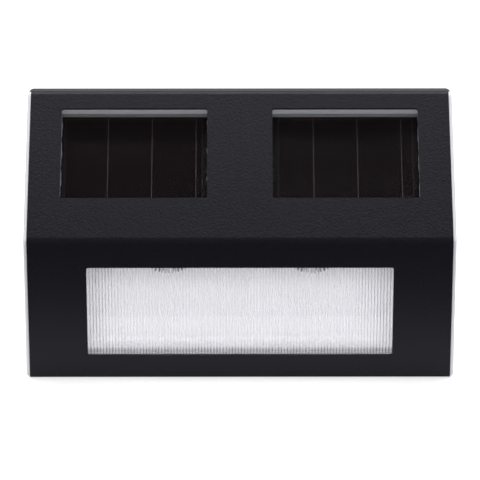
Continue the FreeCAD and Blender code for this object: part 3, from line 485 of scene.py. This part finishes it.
def ground_glass_edge(colours):
    """Edge of the glass, ground and sealed to its seat: grey and matt, with fine grinding marks."""
    material, tree, shader = new_material("ground_glass_edge", {"Base Color": colours.ground_edge})
    vary_roughness(tree, shader, lumps(tree, shader, size_mm=0.5, depth_mm=0.03), low=0.6, high=0.8)
    return material


def black_resin():
    """Cast black epoxy: smooth, slightly uneven, half matt."""
    material, tree, shader = new_material("black_epoxy", {
        "Base Color": linear("#09080a"), "Specular IOR Level": 0.1})
    noise = lumps(tree, shader, size_mm=2.0, depth_mm=0.03)
    vary_roughness(tree, shader, noise, low=0.4, high=0.6)
    return material


def solder_mask(colours):
    """Green lacquer over glass fibre: glossy, with the weave just showing."""
    material, tree, shader = new_material("solder_mask", {"Roughness": 0.3, "Coat Weight": 0.4})
    strand_mm = 0.5236
    weave = add(tree, "TexWave", {"Scale": WAVE_LENGTH / strand_mm, "Distortion": 1.0},
                {"Vector": in_millimetres(tree)})
    tone = add(tree, "Mix", {"data_type": "RGBA", MIX_LOW: colours.board, MIX_HIGH: linear("#1c5533")},
               {MIX_FACTOR: weave.outputs["Fac"]})
    tree.links.new(tone.outputs[MIX_RESULT], shader.inputs["Base Color"])
    bump = add(tree, "Bump", {"Distance": 0.01 * MM}, {"Height": weave.outputs["Fac"]})
    tree.links.new(bump.outputs["Normal"], shader.inputs["Normal"])
    return material


def metal(name, code, grain_mm, low, high):
    """Plated or drawn metal: its own colour, with a fine uneven sheen of the given grain."""
    material, tree, shader = new_material(name, {"Base Color": linear(code), "Metallic": 1.0})
    noise = lumps(tree, shader, size_mm=grain_mm, depth_mm=0.01)
    vary_roughness(tree, shader, noise, low, high)
    return material


def ferrite():
    """Sintered ferrite: matt dark grey, slightly porous."""
    material, tree, shader = new_material("ferrite", {"Base Color": linear("#3a3b3e")})
    vary_roughness(tree, shader, lumps(tree, shader, size_mm=0.4, depth_mm=0.02), low=0.7, high=0.9)
    return material


def copper_winding(colours):
    """Enamelled copper wire in tight turns: each turn is a fine rounded ridge."""
    material, tree, shader = new_material("copper_winding", {"Base Color": colours.copper, "Metallic": 1.0,
                                                             "Roughness": 0.3, "Coat Weight": 0.5})
    wire_mm = 0.3142
    turns = add(tree, "TexWave", {"bands_direction": "Z", "Scale": WAVE_LENGTH / wire_mm},
                {"Vector": in_millimetres(tree)})
    bump = add(tree, "Bump", {"Distance": 0.1 * MM}, {"Height": turns.outputs["Fac"]})
    tree.links.new(bump.outputs["Normal"], shader.inputs["Normal"])
    return material


def shrink_sleeve(colours):
    """Heat-shrunk plastic film: glossy, drawn tight with faint waves."""
    material, tree, shader = new_material("shrink_sleeve", {"Base Color": colours.sleeve, "Coat Weight": 0.5})
    vary_roughness(tree, shader, lumps(tree, shader, size_mm=5.0, depth_mm=0.05), low=0.25, high=0.4)
    return material


def phenolic():
    """Pressed paper laminate: warm brown and dull, with fibres in clumps under a millimetre wide."""
    material, tree, shader = new_material("phenolic_laminate", {"Roughness": 0.6})
    fibre_mm = 0.8333
    noise = add(tree, "TexNoise", {"Scale": 1 / fibre_mm, "Detail": 6.0}, {"Vector": in_millimetres(tree)})
    tone = add(tree, "Mix", {"data_type": "RGBA", MIX_LOW: linear("#5a3018"), MIX_HIGH: linear("#8a5128")},
               {MIX_FACTOR: noise.outputs["Fac"]})
    tree.links.new(tone.outputs[MIX_RESULT], shader.inputs["Base Color"])
    return material


def wire_insulation(name, tone):
    """Extruded PVC: smooth and slightly waxy."""
    material, tree, shader = new_material(name, {"Base Color": tone})
    vary_roughness(tree, shader, lumps(tree, shader, size_mm=1.0, depth_mm=0.01), low=0.35, high=0.5)
    return material


def phosphor():
    """Yellow phosphor in silicone over the chip."""
    material, tree, shader = new_material("lamp_phosphor", {"Base Color": linear("#d9c53a")})
    vary_roughness(tree, shader, lumps(tree, shader, size_mm=0.2, depth_mm=0.02), low=0.5, high=0.7)
    return material


# ---- pieces ----

def ribbed_plate(sizes):
    """Clear plate: flat in front; behind it each rib's height is 1 - |2t / pitch| ** 2.2 of the full height
    at a distance t from its crest, drifts a little along x and z, and is nothing outside the window. The
    count is odd, so a crest stands in the middle."""
    half = LENS_HIGH[0] - LENS_OVERLAP
    count = 2 * int(half / sizes.rib_pitch - 0.5) + 1
    start = -count * sizes.rib_pitch / 2
    x = start + np.arange(count * RIB_STEPS + 1) * sizes.rib_pitch / RIB_STEPS
    from_crest = np.mod(np.arange(len(x)), RIB_STEPS) / RIB_STEPS - 0.5
    height = sizes.rib_height * (1 - np.abs(2 * from_crest) ** RIB_ROUNDNESS)
    x = np.concatenate([[LENS_LOW[0]], x, [LENS_HIGH[0]]])
    height = np.concatenate([[0.0], height, [0.0]])
    inside = np.linspace(WINDOW_LOW + RIB_END, WINDOW_HIGH - RIB_END, RIB_ROWS)
    z = np.concatenate([[LENS_LOW[2], WINDOW_LOW], inside, [WINDOW_HIGH, LENS_HIGH[2]]])
    raised = np.concatenate([[0.0, 0.0], np.ones(len(inside)), [0.0, 0.0]])
    xs, zs = np.meshgrid(x, z)
    # Radians per metre: these waves are 20 to 70 mm long and never line up.
    sway = np.sin(xs * 310 + 2.0 * np.sin(zs * 90)) * np.cos(zs * 140 + xs * 95)
    drift = 1.0 - RIB_DRIFT * (1 + sway) / 2
    front = np.stack([xs, np.full_like(xs, LENS_LOW[1]), zs], axis=-1)
    plate_back = LENS_HIGH[1] - sizes.rib_height
    back = np.stack([xs, plate_back + raised[:, None] * height[None, :] * drift, zs], axis=-1)
    return slab(front, back)


def lamp_inside(x, y, tip_z, top_z):
    """Two stamped posts in the epoxy, as flat strips whose half width follows the height, one with a cup."""
    z = np.minimum(tip_z + POSTS_OVER_TIP + POST_HEIGHTS, top_z)
    zs = np.stack([z, z], axis=1)
    solids = []
    for off_axis, half in ((CUP_OFF_AXIS, CUP_POST), (PLAIN_OFF_AXIS, PLAIN_POST)):
        xs = x + off_axis + np.stack([-half, half], axis=1)
        front = np.stack([xs, np.full_like(xs, y - POST_THICKNESS / 2), zs], axis=-1)
        back = np.stack([xs, np.full_like(xs, y + POST_THICKNESS / 2), zs], axis=-1)
        solids.append(slab(front, back))
    return merged(solids)


def dome(x, y, z, radius, height):
    """Half ball squashed to a height, hanging down from z: angle round and angle from the pole."""
    sides, rings = 24, 6
    turn = np.linspace(0, 2 * math.pi, sides, endpoint=False)
    fall = np.linspace(math.pi / 2, 0.0, rings, endpoint=False)
    xs = x + radius * np.sin(fall)[:, None] * np.cos(turn)
    ys = y + radius * np.sin(fall)[:, None] * np.sin(turn)
    zs = z - height * np.cos(fall)[:, None] * np.ones_like(turn)
    skin = np.stack([xs, ys, zs], axis=-1)
    index = np.arange(rings * sides).reshape(rings, sides)
    index = np.concatenate([index, index[:, :1]], axis=1)
    points = np.concatenate([skin.reshape(-1, 3), [[x, y, z - height], [x, y, z]]])
    tip, middle = len(points) - 2, len(points) - 1
    around = np.stack([index[-1, :-1], index[-1, 1:], np.full(sides, tip)], axis=1)
    lid = np.stack([index[0, 1:], index[0, :-1], np.full(sides, middle)], axis=1)
    faces = grid_quads(index).tolist() + around.tolist() + lid.tolist()
    return points, np.array(faces, dtype=object)


def panel_lines(side, sizes):
    """Bare lines of one panel: the (edge lines, scribe lines), thin plates on the back of the glass."""
    cells = on_slope_of(node_points("solar_cells_" + side))
    low, high = cells.min(axis=0), cells.max(axis=0)
    near, far = low[2] - FILM, low[2]
    width = sizes.track_width
    edges = [slope_plate(low[0] - width, high[0] + width, v, v + width, near, far)
             for v in (low[1] - width, high[1])]
    edges += [slope_plate(x, x + width, low[1], high[1], near, far) for x in (low[0] - width, high[0])]
    # The cells' left and right ends, in turn from left to right. A scribe line lies between two cells.
    ends = np.unique(np.round(cells[:, 0], 6))
    middles = (ends[1:-1:2] + ends[2::2]) / 2
    half = sizes.scribe_width / 2
    scribes = [slope_plate(x - half, x + half, low[1], high[1], near, far) for x in middles]
    return merged(edges), merged(scribes)


def seal_bead(x, inward, low, high, glass_depth, width):
    """Bead of sealant on the glass, along one side of its pocket: a half ellipse over the glass, whose
    width follows two sine waves up the slope."""
    v = np.linspace(low, high, BEAD_STEPS)
    # Radians per metre: waves 8 and 3 mm long, which x shifts so that no two beads are alike.
    sway = 0.75 + 0.3 * np.sin(v * 760 + x * 900) + 0.2 * np.sin(v * 2100 + x * 400)
    turn = np.linspace(0, math.pi, BEAD_ARC_STEPS)
    reach = np.outer(width * sway, (1 - np.cos(turn)) / 2)
    height = np.outer(np.full_like(v, BEAD_HEIGHT * width), np.sin(turn))
    front = from_slope(x + inward * reach, v[:, None], glass_depth - height)
    back = from_slope(x + inward * reach, v[:, None], glass_depth + FILM)
    return slab(front, back)


def glass_box(side):
    """Lowest and highest x, way up the slope and depth of a panel's glass."""
    glass = on_slope_of(node_points("solar_glass_" + side))
    return glass.min(axis=0), glass.max(axis=0)


def panel_beads(side):
    """The beads at the left and right edge of one panel's glass."""
    low, high = glass_box(side)
    left, right = BEAD_WIDTHS[side]
    return merged([seal_bead(low[0], 1, low[1], high[1], low[2], left),
                   seal_bead(high[0], -1, low[1], high[1], low[2], right)])


def ground_edge(side):
    """Matt strip just inside the upper edge of a panel's glass, over almost its whole thickness."""
    low, high = glass_box(side)
    return slope_plate(low[0] + GLASS_SKIN, high[0] - GLASS_SKIN,
                       high[1] - GROUND_STRIP, high[1] - GLASS_SKIN,
                       low[2] + GLASS_SKIN, high[2] - GLASS_SKIN)


class FencelightDressCase(bpy.types.Operator):
    """Powder coat on the cover, plastics on the body, reflector and back cover, foam on the seal"""
    bl_idname = "fencelight.dress_case"
    bl_label = "Case finishes"

    def execute(self, context):
        colours = context.scene.fence_light_colours
        dress(powder_coat(colours, context.scene.fence_light_sizes), "black_coat")
        dress(satin_white(colours), "white_abs")
        dress(glossy_white(colours), "white_gloss")
        dress(spark_textured_black(colours), "black_abs")
        dress(seal_foam(colours), "seal_foam")
        return {"FINISHED"}


class FencelightRibbedLens(bpy.types.Operator):
    """Clear plate with upright rounded ribs behind the wide window"""
    bl_idname = "fencelight.ribbed_lens"
    bl_label = "Ribbed lens"

    def execute(self, context):
        sizes = context.scene.fence_light_sizes
        material = clear_lens(sizes)
        dress(material, "clear_lens")
        piece = make_piece("ribbed_lens", ribbed_plate(sizes), material)
        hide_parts("lens")
        return {"FINISHED"}


class FencelightLamps(bpy.types.Operator):
    """Milky round-nosed lamps with their stamped posts and phosphor inside"""
    bl_idname = "fencelight.lamps"
    bl_label = "Lamps"

    def execute(self, context):
        dress(lamp_epoxy(), "clear_resin")
        tin = metal("tinned_wire", "#cfcec8", grain_mm=0.3, low=0.25, high=0.4)
        dress(tin, "tinned_wire")
        yellow = phosphor()
        for side in SIDES:
            low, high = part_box("led_" + side)
            x, y = (low[0] + high[0]) / 2, (low[1] + high[1]) / 2
            posts = lamp_inside(x, y, low[2], high[2] - POSTS_UNDER_TOP)
            make_piece("lamp_posts_" + side, posts, tin)
            drop = dome(x + CUP_OFF_AXIS, y, low[2] + POSTS_OVER_TIP, PHOSPHOR_RADIUS, PHOSPHOR_HEIGHT)
            make_piece("lamp_phosphor_" + side, drop, yellow)
        return {"FINISHED"}


class FencelightPanels(bpy.types.Operator):
    """Glass, dark cells and black resin of both panels, with their lines, sealant and ground edges"""
    bl_idname = "fencelight.panels"
    bl_label = "Solar panels"

    def execute(self, context):
        colours = context.scene.fence_light_colours
        dress(panel_glass(), "panel_glass")
        dress(thin_film(colours), "cell_film")
        dress(black_resin(), "black_resin")
        edge = bare_conductor(colours, "bare_film_edge", colours.cell_edge)
        scribe = bare_conductor(colours, "scribed_line", colours.scribe)
        sealant = grey_sealant(colours)
        ground = ground_glass_edge(colours)
        for side in SIDES:
            edges, scribes = panel_lines(side, context.scene.fence_light_sizes)
            make_piece("cell_edges_" + side, edges, edge)
            make_piece("scribe_lines_" + side, scribes, scribe)
            make_piece("sealant_beads_" + side, panel_beads(side), sealant)
            make_piece("glass_edge_" + side, ground_edge(side), ground)
        return {"FINISHED"}


class FencelightElectronics(bpy.types.Operator):
    """Board, coil, capacitor, solder and wires inside the body"""
    bl_idname = "fencelight.electronics"
    bl_label = "Electronics"

    def execute(self, context):
        colours = context.scene.fence_light_colours
        dress(solder_mask(colours), "board_laminate")
        dress(ferrite(), "ferrite")
        dress(copper_winding(colours), "copper")
        dress(metal("drawn_aluminium", "#c9cacd", grain_mm=0.5, low=0.25, high=0.4), "can_aluminium")
        dress(metal("bright_solder", "#c4c4c2", grain_mm=0.6, low=0.2, high=0.4), "solder")
        dress(wire_insulation("red_pvc", colours.red_wire), "red_insulation")
        dress(wire_insulation("black_pvc", colours.cover), "black_insulation")
        return {"FINISHED"}


class FencelightBattery(bpy.types.Operator):
    """Battery can and sleeve, and the sprung contacts"""
    bl_idname = "fencelight.battery"
    bl_label = "Battery and contacts"

    def execute(self, context):
        dress(metal("nickel_plate", "#c6c4be", grain_mm=0.8, low=0.2, high=0.35), "cell_steel")
        dress(shrink_sleeve(context.scene.fence_light_colours), "cell_sleeve")
        dress(metal("spring_steel", "#bdb9b0", grain_mm=0.4, low=0.3, high=0.45), "spring_steel")
        return {"FINISHED"}


class FencelightSwitchAndScrews(bpy.types.Operator):
    """Switch base and terminals, and the zinc-plated screws"""
    bl_idname = "fencelight.switch_and_screws"
    bl_label = "Switch and screws"

    def execute(self, context):
        dress(phenolic(), "phenolic")
        dress(metal("brass_terminals", "#c9a35a", grain_mm=0.4, low=0.25, high=0.4), "terminal_brass")
        dress(metal("zinc_plate", "#b9babd", grain_mm=0.5, low=0.3, high=0.45), "zinc_steel")
        return {"FINISHED"}


# ---- studio ----

CAMERA_SENSOR = 36.0            # width in millimetres
CAMERA_LENS = 214.2             # millimetres
CAMERA_DISTANCE = 788.2 * MM
CAMERA_ELEVATION = 20.7         # degrees above the horizon
CAMERA_YAW = -0.12              # degrees round to the object's right
CAMERA_RISE = 0.35 * MM         # view axis above the ridge
BOX_TINT = (1.0, 0.99, 1.02)    # linear colour of the soft boxes' light, a trace cooler than white
FLOOR_RADIUS = 3000 * MM
FLOOR_SIDES = 64
FLOOR_LIFT = 0.45               # glow that brings the floor to white in the picture
CARD_NEAR = 80 * MM             # the dark card reaches from here
CARD_FAR = 500 * MM             # to here in front of the light
CARD_HALF = 220 * MM
CARD_OVER_FLOOR = 1 * MM


def place_camera():
    """Camera at the photograph's angle, aimed just above the ridge."""
    tilt = math.radians(CAMERA_ELEVATION)
    yaw = math.radians(CAMERA_YAW)
    ahead = Vector((-math.sin(yaw) * math.cos(tilt), math.cos(yaw) * math.cos(tilt), -math.sin(tilt)))
    up = Vector((-math.sin(yaw) * math.sin(tilt), math.cos(yaw) * math.sin(tilt), math.cos(tilt)))
    camera = bpy.data.objects.new("camera", bpy.data.cameras.new("camera"))
    camera.data.lens = CAMERA_LENS
    camera.data.sensor_width = CAMERA_SENSOR
    camera.data.clip_start = 0.05
    camera.data.clip_end = 20.0
    camera.location = Vector(RIDGE) + up * CAMERA_RISE - ahead * CAMERA_DISTANCE
    camera.rotation_mode = "QUATERNION"
    camera.rotation_quaternion = ahead.to_track_quat("-Z", "Y")
    bpy.context.scene.collection.objects.link(camera)
    bpy.context.scene.camera = camera


def soft_box(name, power, place, width, height, mirrored):
    """Soft area lamp, aimed at the middle of the light; one that isn't mirrored makes no highlight."""
    target = (RIDGE[0], RIDGE[1] / 2, RIDGE[2])
    lamp = bpy.data.lights.new(name, "AREA")
    lamp.shape = "RECTANGLE"
    lamp.size = width
    lamp.size_y = height
    lamp.energy = power
    lamp.color = BOX_TINT
    box = bpy.data.objects.new(name, lamp)
    box.location = place
    box.rotation_mode = "QUATERNION"
    box.rotation_quaternion = (Vector(target) - Vector(place)).to_track_quat("-Z", "Y")
    box.visible_camera = False
    box.visible_glossy = mirrored
    bpy.context.scene.collection.objects.link(box)


def pale_floor(tone):
    """Matt pale floor that looks white where no shadow falls, seen straight, mirrored or through glass.
    It is clear from below, and its glow lights nothing matt."""
    material, tree, shader = new_material("pale_floor", {
        "Base Color": tone, "Roughness": 0.9, "Specular IOR Level": 0.0})
    path = add(tree, "LightPath")
    direct = add(tree, "Math", {"operation": "MAXIMUM"},
                 {0: path.outputs["Is Camera Ray"], 1: path.outputs["Is Glossy Ray"]})
    seen = add(tree, "Math", {"operation": "MAXIMUM"},
               {0: direct.outputs[0], 1: path.outputs["Is Transmission Ray"]})
    lift = add(tree, "Math", {"operation": "MULTIPLY", 1: FLOOR_LIFT}, {0: seen.outputs[0]})
    glow = add(tree, "Emission", {}, {"Strength": lift.outputs[0]})
    lit = add(tree, "AddShader", {}, {0: shader.outputs[0], 1: glow.outputs[0]})
    below = add(tree, "NewGeometry")
    clear = add(tree, "BsdfTransparent")
    both = add(tree, "MixShader", {},
               {0: below.outputs["Backfacing"], 1: lit.outputs[0], 2: clear.outputs[0]})
    tree.links.new(both.outputs[0], tree.nodes["Material Output"].inputs["Surface"])
    return material


def floor_disc(material):
    """Round floor that the light stands on: points at equal angles round one face."""
    turn = np.linspace(0, 2 * math.pi, FLOOR_SIDES, endpoint=False)
    z = np.full_like(turn, COVER_LOW[2])
    points = np.stack([FLOOR_RADIUS * np.cos(turn), FLOOR_RADIUS * np.sin(turn), z], axis=1)
    mesh = bpy.data.meshes.new("floor")
    mesh.from_pydata(points.tolist(), [], [list(range(len(turn)))])
    mesh.materials.append(material)
    floor = bpy.data.objects.new("floor", mesh)
    bpy.context.scene.collection.objects.link(floor)


def dark_card():
    """Dark studio card flat over the floor in front, unseen by the camera: it deepens the front's upper
    part."""
    material = new_material("dark_card", {"Base Color": linear("#141414"), "Roughness": 0.9})[0]
    mesh = bpy.data.meshes.new("dark_card")
    z = COVER_LOW[2] + CARD_OVER_FLOOR
    corners = [(-CARD_HALF, -CARD_FAR, z), (CARD_HALF, -CARD_FAR, z),
               (CARD_HALF, -CARD_NEAR, z), (-CARD_HALF, -CARD_NEAR, z)]
    mesh.from_pydata(corners, [], [(0, 1, 2, 3)])
    mesh.materials.append(material)
    card = bpy.data.objects.new("dark_card", mesh)
    card.visible_camera = False
    card.visible_transmission = False
    card.visible_shadow = False
    bpy.context.scene.collection.objects.link(card)


def room_light(strength):
    """Even white light from all round."""
    world = bpy.data.worlds.new("room")
    world.use_nodes = True
    shader = world.node_tree.nodes["Background"]
    shader.inputs["Color"].default_value = (1.0, 1.0, 1.0, 1.0)
    shader.inputs["Strength"].default_value = strength
    bpy.context.scene.world = world


class FencelightStudio(bpy.types.Operator):
    """Pale floor, dark card, soft boxes, room light and the camera"""
    bl_idname = "fencelight.studio"
    bl_label = "Studio"

    def execute(self, context):
        lighting = context.scene.fence_light_lighting
        floor_disc(pale_floor(lighting.floor))
        dark_card()
        room_light(lighting.room)
        soft_box("overhead_box", lighting.key, place=(0.0, 0.12, 0.75), width=0.7, height=0.4, mirrored=True)
        soft_box("front_box", lighting.fill, place=(0.0, -0.9, 0.45), width=0.9, height=0.5, mirrored=False)
        soft_box("rear_box", lighting.rear, place=(0.0, 1.0, 0.42), width=1.6, height=0.6, mirrored=True)
        place_camera()
        context.scene.view_settings.view_transform = "Standard"
        return {"FINISHED"}


class FencelightPanel(bpy.types.Panel):
    """Lists the steps and settings of the fence light"""
    bl_idname = "VIEW3D_PT_fence_light"
    bl_label = "Fence light"
    bl_space_type = "VIEW_3D"
    bl_region_type = "UI"
    bl_category = "Fence light"

    def draw(self, context):
        for step in STEPS:
            self.layout.operator(step.bl_idname)
        for name, group in GROUPS.items():
            settings = getattr(context.scene, name)
            for key in group.__annotations__:
                self.layout.prop(settings, key)


STEPS = (FencelightDressCase, FencelightRibbedLens, FencelightLamps, FencelightPanels, FencelightElectronics,
         FencelightBattery, FencelightSwitchAndScrews, FencelightStudio)
GROUPS = {"fence_light_sizes": FenceLightSizes, "fence_light_colours": FenceLightColours,
          "fence_light_lighting": FenceLightLighting}


def register():
    for kind in (*GROUPS.values(), *STEPS, FencelightPanel):
        bpy.utils.register_class(kind)
    for name, group in GROUPS.items():
        setattr(bpy.types.Scene, name, bpy.props.PointerProperty(type=group))


def unregister():
    for name in GROUPS:
        delattr(bpy.types.Scene, name)
    for kind in (FencelightPanel, *STEPS[::-1], *GROUPS.values()):
        bpy.utils.unregister_class(kind)


def main():
    register()
    for step in STEPS:
        group, name = step.bl_idname.split(".")
        getattr(getattr(bpy.ops, group), name)()


if __name__ == "__main__":
    main()
